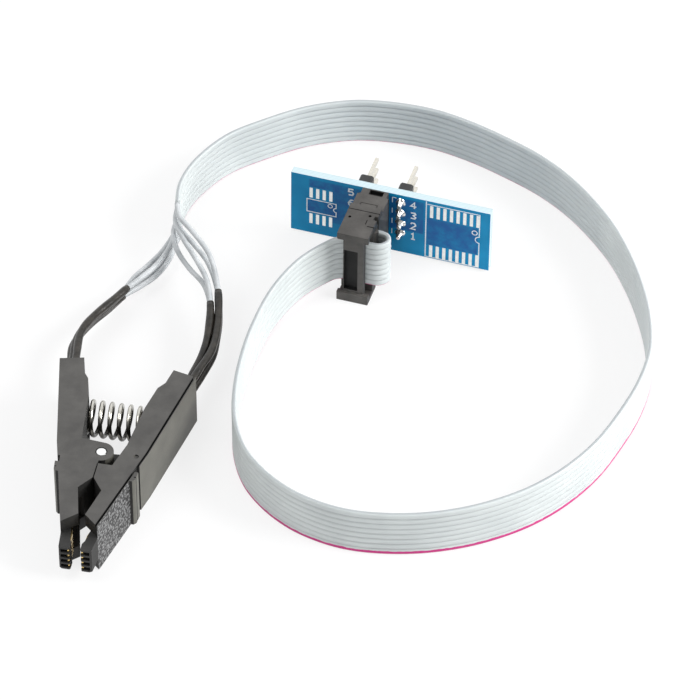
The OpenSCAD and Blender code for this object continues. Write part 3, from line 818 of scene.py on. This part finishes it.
ridge = step(board_blue, "Bump", 0.4, 0.04 * MM, None, copper)
put(board_blue, "Normal", ridge.outputs[0])

board_edge = new_finish("board_edge", Roughness=0.55, Specular_IOR_Level=0.35)
local = in_board(board_edge)
weave = step(board_edge, "TexWave", local, 900.0, 2.0, bands_direction="Y")
put(board_edge, "Base Color", shades(board_edge, weave.outputs["Fac"], 0, (0.42, 0.54, 0.58),
                                     1, (0.58, 0.69, 0.72)))

board_across = STOOD.to_3x3() @ Vector((0, 1, 0))
board = rounded("adapter_board", "adapter_board_blank", 0.06 * MM, [board_blue, board_edge],
                lambda middle, normal: 0 if abs(normal.dot(board_across)) > 0.7 else 1)
evened(board)
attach(board, "adapter")


# ---------------------------------------------------------------- lands
# Tinned copper lands for two sizes of small-outline chip on the front of the board: eight
# leads at the left and sixteen at the right, all at the same pitch.
tin = plated("tin", (0.86, 0.88, 0.86), 0.34, 1500.0, 0.02 * MM)

land_tree = bpy.data.node_groups.new("row_of_lands", "GeometryNodeTree")
for label, kind in (("Count", "Int"), ("First", "Vector"), ("Spacing", "Vector"), ("Width", "Float"),
                    ("Height", "Float"), ("Proud", "Float"), ("Finish", "Material")):
    tree_socket(land_tree, label, kind)
tree_socket(land_tree, "Geometry", "Geometry", "OUTPUT")
given = land_tree.nodes.new("NodeGroupInput").outputs
row = tree_step(land_tree, "GeometryNodeMeshLine", given["Count"], given["First"], given["Spacing"],
                mode="OFFSET")
outline = tree_step(land_tree, "GeometryNodeCurvePrimitiveQuadrilateral", given["Width"],
                    given["Height"])
corner = tree_step(land_tree, "GeometryNodeFilletCurve", mode="POLY")
land_tree.links.new(outline.outputs[0], corner.inputs["Curve"])
corner.inputs["Radius"].default_value = 0.08 * MM
corner.inputs["Count"].default_value = 3
filled = tree_step(land_tree, "GeometryNodeFillCurve", corner.outputs[0])
lifted = tree_step(land_tree, "GeometryNodeExtrudeMesh", filled.outputs[0])
land_tree.links.new(given["Proud"], lifted.inputs["Offset Scale"])
lifted.inputs["Individual"].default_value = False
stood_up = tree_step(land_tree, "GeometryNodeTransform", lifted.outputs[0])
stood_up.inputs["Rotation"].default_value = (math.radians(90), 0, 0)
placed = tree_step(land_tree, "GeometryNodeInstanceOnPoints", row.outputs[0])
land_tree.links.new(stood_up.outputs[0], placed.inputs["Instance"])
real = tree_step(land_tree, "GeometryNodeRealizeInstances", placed.outputs[0])
dressed = tree_step(land_tree, "GeometryNodeSetMaterial", real.outputs[0], True)
land_tree.links.new(given["Finish"], dressed.inputs["Material"])
land_out = land_tree.nodes.new("NodeGroupOutput")
land_tree.links.new(dressed.outputs[0], land_out.inputs[0])


def on_board(along, height, proud=0.0):
    """A spot on the front of the board, in millimetres from its left and bottom edges."""
    return Vector((BOARD_LEFT + along * MM, -proud * MM, height * MM))


for name, count, along, heights, tall in (
        ("lands_eight", 4, 3.9, (9.95, 3.57), 2.4), ("lands_sixteen", 8, 27.1, (11.5, 1.75), 2.9)):
    for which, height in zip(("upper", "lower"), heights):
        made = grown(f"{name}_{which}", land_tree, {
            "Count": count, "First": on_board(along, height, 0), "Spacing": (PITCH, 0, 0),
            "Width": 0.62 * MM, "Height": tall * MM, "Proud": 0.035 * MM, "Finish": tin})
        made.data.transform(STOOD)
        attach(made, "adapter")


# ---------------------------------------------------------------- printed marks
# White ink, screen printed on the mask: outlines of both chips with the notch and the dot
# of the first lead, a dividing line, and the plain numbers of the eight pins.
INK_THICK = 0.02
mark_white = new_finish("mark_white", Roughness=0.6, Specular_IOR_Level=0.3)
local = in_board(mark_white)
patchy = step(mark_white, "TexNoise", local, None, 1500.0, 3.0)
put(mark_white, "Base Color", shades(mark_white, patchy.outputs["Fac"], 0.3, (0.62, 0.72, 0.78),
                                     0.6, (0.86, 0.89, 0.90)))


def ink_line(work, points, width, closed=False):
    """A printed line of even width through points of the board's front, in millimetres."""
    pts = [Vector(p) for p in points]
    last = len(pts) - 1
    sides = []
    for i, p in enumerate(pts):
        before = pts[i - 1] if i or closed else p
        after = pts[(i + 1) % len(pts)] if i < last or closed else p
        into = (p - before).normalized() if (p - before).length else (after - p).normalized()
        away = (after - p).normalized() if (after - p).length else into
        normal = (Vector((-into.y, into.x)) + Vector((-away.y, away.x))).normalized()
        stretch = 1 / max(0.5, normal.dot(Vector((-into.y, into.x))))
        sides.append((p + normal * width / 2 * stretch, p - normal * width / 2 * stretch))
    cells = list(zip(sides, sides[1:] + sides[:1])) if closed else list(zip(sides, sides[1:]))
    for (a, b), (d, c) in cells:
        front = [work.verts.new(on_board(q.x, q.y, INK_THICK)) for q in (a, b, c, d)]
        back = [work.verts.new(on_board(q.x, q.y, -0.01)) for q in (a, b, c, d)]
        work.faces.new(front)
        work.faces.new(back[::-1])
        for i in range(4):
            j = (i + 1) % 4
            work.faces.new((front[j], front[i], back[i], back[j]))


def ring_points(along, height, radius, start=0, sweep=360, count=16):
    """Points of an arc on the board's front."""
    full = sweep == 360
    steps = count if full else count - 1
    return [(along + radius * math.cos(math.radians(start + sweep * i / steps)),
             height + radius * math.sin(math.radians(start + sweep * i / steps)))
            for i in range(count)]


ink = bmesh.new()
ink_line(ink, [(26.05, 0.15), (26.05, 13.85)], 0.2)
ink_line(ink, [(26.2, 13.2), (36.3, 13.2), (36.3, 8.1)], 0.17)
ink_line(ink, [(36.3, 8.1)] + ring_points(36.3, 7.0, 0.75, 90, 180, 9) + [(36.3, 5.9), (36.3, 0.25),
                                                                     (26.2, 0.25)], 0.17)
ink_line(ink, ring_points(35.4, 8.6, 0.5), 0.17, True)
ink_line(ink, [(8.75, 6.0), (8.75, 5.2), (3.1, 5.2), (3.1, 8.3), (8.75, 8.3), (8.75, 7.5)], 0.19)
ink_line(ink, [(8.75, 7.5)] + ring_points(8.75, 6.75, 0.5, 90, 180, 7) + [(8.75, 6.0)], 0.19)
ink_line(ink, ring_points(7.6, 7.55, 0.42), 0.17, True)
# ticks beside the right-hand row
for height in (12.3, 9.75, 7.2, 4.65):
    ink_line(ink, [(19.55, height + 0.75), (19.55, height - 0.45)], 0.17)
ink_line(ink, [(19.55, 13.1), (20.3, 13.1)], 0.17)

STROKES = {
    "1": [[(-0.3, 0.45), (0.05, 0.8), (0.05, -0.8)], [(-0.35, -0.8), (0.45, -0.8)]],
    "2": [[(-0.5, 0.5), (-0.25, 0.8), (0.25, 0.8), (0.5, 0.5), (0.5, 0.15), (-0.5, -0.8),
           (0.55, -0.8)]],
    "3": [[(-0.5, 0.7), (0.3, 0.8), (0.5, 0.45), (0.0, 0.05), (0.5, -0.35), (0.3, -0.75),
           (-0.5, -0.7)]],
    "4": [[(0.2, -0.8), (0.2, 0.8), (-0.55, -0.25), (0.6, -0.25)]],
    "5": [[(0.5, 0.8), (-0.45, 0.8), (-0.5, 0.1), (0.25, 0.15), (0.5, -0.25), (0.3, -0.75),
           (-0.5, -0.75)]],
    "6": [[(0.45, 0.75), (-0.1, 0.6), (-0.5, -0.1), (-0.45, -0.6), (0.0, -0.8), (0.45, -0.6),
           (0.45, -0.15), (0.0, 0.05), (-0.45, -0.15)]],
    "7": [[(-0.5, 0.8), (0.5, 0.8), (-0.05, -0.8)]],
    "8": [[(0.0, 0.05), (-0.4, 0.3), (-0.35, 0.7), (0.0, 0.82), (0.35, 0.7), (0.4, 0.3), (0.0, 0.05),
           (-0.48, -0.25), (-0.45, -0.65), (0.0, -0.82), (0.45, -0.65), (0.48, -0.25), (0.0, 0.05)]],
}
PIN_STEP = 2.54
DIGIT_SIZE = 0.92
for column, digits in ((23.6, "4321"), (11.6, "5678")):
    for place_down, digit in enumerate(digits):
        middle = 12.1 - PIN_STEP * place_down
        for stroke in STROKES[digit]:
            ink_line(ink, [(column + DIGIT_SIZE * x, middle + DIGIT_SIZE * y) for x, y in stroke], 0.29)

marks_mesh = bpy.data.meshes.new("printed_marks")
bmesh.ops.recalc_face_normals(ink, faces=ink.faces)
ink.to_mesh(marks_mesh)
ink.free()
marks_mesh.transform(STOOD)
marks_mesh.materials.append(mark_white)
marks = bpy.data.objects.new("printed_marks", marks_mesh)
bpy.context.scene.collection.objects.link(marks)
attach(marks, "adapter")


# ---------------------------------------------------------------- header
# Two-by-four pin header on the front, and two rows of four square pins that go through the
# board to its back. Black polyester bases, gold-plated and tinned pins.
header_black = moulded("header_black", (0.014, 0.014, 0.014), (0.03, 0.03, 0.03), 0.42, 0.03 * MM)
for node, name in (("header_base", "header_strip"), ("left_row_base", "pin_strip_left"),
                   ("right_row_base", "pin_strip_right")):
    piece = rounded(node, name, 0.08 * MM, [header_black])
    evened(piece)
    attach(piece, "adapter")
dress("header_pins", contact_gold)
pin_tin = plated("pin_tin", (0.72, 0.69, 0.61), 0.2, 1500.0, 0.02 * MM)
for node in ("left_row_pins", "right_row_pins"):
    dress(node, pin_tin)


# ---------------------------------------------------------------- solder joints
# Each pin is soldered with a small bright cone that runs up its four sides. The rows are
# soldered on the front of the board and the header on its back.
solder = plated("solder", (0.90, 0.90, 0.88), 0.16, 900.0, 0.06 * MM)


def solder_joints(name, spots, foot, tall, way):
    """Cones of solder at these spots of the board, on its front (way -1) or its back (way 1)."""
    work = bmesh.new()
    sides = 16
    face_y = 0 if way < 0 else BOARD_THICK
    profile = [(1.0, -0.02), (1.0, 0.06), (0.86, 0.16), (0.66, 0.34), (0.52, 0.6), (0.42, 0.85),
               (0.30, 1.0)]
    for number, (x, z) in enumerate(spots):
        rings = []
        lean = 0.10 * math.sin(2.3 * number)
        for share, up in profile:
            ring = []
            for k in range(sides):
                a = 2 * math.pi * k / sides
                uneven = 0.09 * math.sin(3 * a + number) + 0.06 * math.sin(2 * a + 2 * number)
                reach = foot * share * (1 + uneven * (1 - up))
                ring.append(work.verts.new((x + reach * math.cos(a) + lean * foot * up,
                                            face_y + way * tall * up, z + reach * math.sin(a))))
            rings.append(ring)
        for low, high in zip(rings, rings[1:]):
            for k in range(sides):
                j = (k + 1) % sides
                work.faces.new((low[k], low[j], high[j], high[k]))
        work.faces.new(rings[0])
        work.faces.new(rings[-1])
    bmesh.ops.recalc_face_normals(work, faces=work.faces)
    for face in work.faces:
        face.smooth = len(face.verts) == 4
    mesh = bpy.data.meshes.new(name)
    work.to_mesh(mesh)
    work.free()
    mesh.transform(STOOD)
    mesh.materials.append(solder)
    made = bpy.data.objects.new(name, mesh)
    bpy.context.scene.collection.objects.link(made)
    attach(made, "adapter")


four = [f * PIN_STEP * MM for f in (-1.5, -0.5, 0.5, 1.5)]
row_mid_z = 8.35 * MM
solder_joints("solder_right_row", [(4.67 * MM, row_mid_z + f) for f in four], 1.05 * MM, 1.5 * MM, -1)
solder_joints("solder_left_row", [(-2.95 * MM, row_mid_z + f) for f in four], 0.42 * MM, 1.0 * MM, -1)
solder_joints("solder_header", [(x * PITCH, socket_mid_z + f) for x in (-1, 1) for f in four],
              0.39 * MM, 0.9 * MM, 1)
